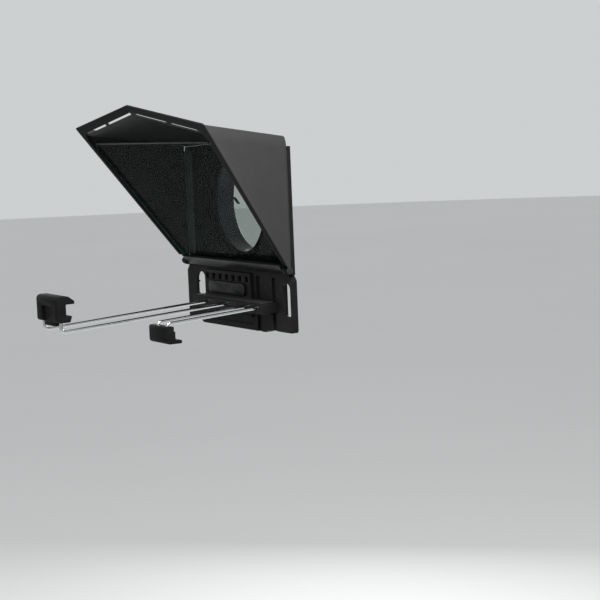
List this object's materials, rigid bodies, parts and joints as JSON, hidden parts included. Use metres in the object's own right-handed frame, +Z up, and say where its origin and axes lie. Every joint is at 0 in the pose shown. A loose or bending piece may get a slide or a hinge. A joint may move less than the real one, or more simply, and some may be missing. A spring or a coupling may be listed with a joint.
{
  "type": "teleprompter",
  "caption": "Teleprompter with a folding beam-splitter hood, a ring that screws to a camera lens, and sliding wire arms with clips for a small tablet.",
  "frame": {"origin": "on the lens axis, in the middle of the adapter ring's thread", "axes": "+X to the presenter's right as the lens sees it, -Y towards the presenter, +Y towards the camera, +Z up"},
  "size_m": [0.1984, 0.1729, 0.1698],
  "materials": {
    "moulded_black": "fine-textured black moulding",
    "gloss_black": "satin black moulding",
    "clip_black": "satin black moulding",
    "grey_strip": "dark grey strip",
    "hood_sheet": "matte dark grey flexible sheet",
    "coated_glass": "half-mirror coating",
    "rubber": "matte",
    "steel": "satin",
    "blackened_steel": "black oxide",
    "anodised_black": "black anodised",
    "brass": "turned",
    "chromed_wire": "polished"
  },
  "bodies": {
    "frame": {"main_frame": "moulded_black", "back_cover": "moulded_black", "cover_screws": "blackened_steel", "tripod_insert": "brass", "lens_seat": "moulded_black", "seat_screws": "blackened_steel", "lock_cap": "steel", "lock_spring": "steel", "hood_strip_right": "grey_strip", "hood_strip_left": "grey_strip"},
    "adapter": {"adapter_ring": "anodised_black"},
    "plunger": {"lock_pin": "steel", "lock_knob": "gloss_black"},
    "glass_frame": {"beam_splitter": "coated_glass", "glass_bottom_rail": "gloss_black", "glass_hinge_pins": "blackened_steel", "glass_side_rail_right": "gloss_black", "glass_side_rail_left": "gloss_black", "glass_top_rail": "gloss_black", "glass_stop_pads": "rubber", "hood_rim_band": "hood_sheet", "hood_side_right": "hood_sheet", "hood_side_left": "hood_sheet", "hood_roof_right": "hood_sheet", "hood_roof_left": "hood_sheet"},
    "carriage": {"holder_carriage": "moulded_black", "holder_rear_pad": "rubber", "latch_springs": "steel"},
    "latch": {"latch_plate": "gloss_black"},
    "long_arm": {"long_arm_wire": "chromed_wire", "long_arm_clip": "clip_black", "long_arm_pad": "rubber"},
    "short_arm": {"short_arm_wire": "chromed_wire", "short_arm_clip": "clip_black", "short_arm_pad": "rubber"}
  },
  "joints": [
    {"name": "adapter_turn", "type": "hinge", "parent": "frame", "child": "adapter", "pos_m": [0, 0, 0], "axis": [0, 1, 0], "continuous": true},
    {"name": "lock_pull", "type": "slide", "parent": "frame", "child": "plunger", "axis": [-1, 0, 0], "range_m": [0, 0.003], "stiffness_N_per_m": 350, "springref_m": -0.005, "deforming": ["lock_spring"]},
    {"name": "glass_fold", "type": "hinge", "parent": "frame", "child": "glass_frame", "pos_m": [0, -0.0192, -0.046], "axis": [-1, 0, 0], "range_deg": [0, 35.9]},
    {"name": "carriage_slide", "type": "slide", "parent": "frame", "child": "carriage", "axis": [0, 0, -1], "range_m": [0, 0.005]},
    {"name": "latch_press", "type": "slide", "parent": "carriage", "child": "latch", "axis": [0, 1, 0], "range_m": [0, 0.001], "stiffness_N_per_m": 600, "springref_m": -0.001, "deforming": ["latch_springs"]},
    {"name": "long_arm_slide", "type": "slide", "parent": "carriage", "child": "long_arm", "axis": [0, 0.9982, 0.0593], "range_m": [-0.003, 0.07]},
    {"name": "short_arm_slide", "type": "slide", "parent": "carriage", "child": "short_arm", "axis": [0, 0.9982, 0.0593], "range_m": [-0.003, 0.055]}
  ]
}
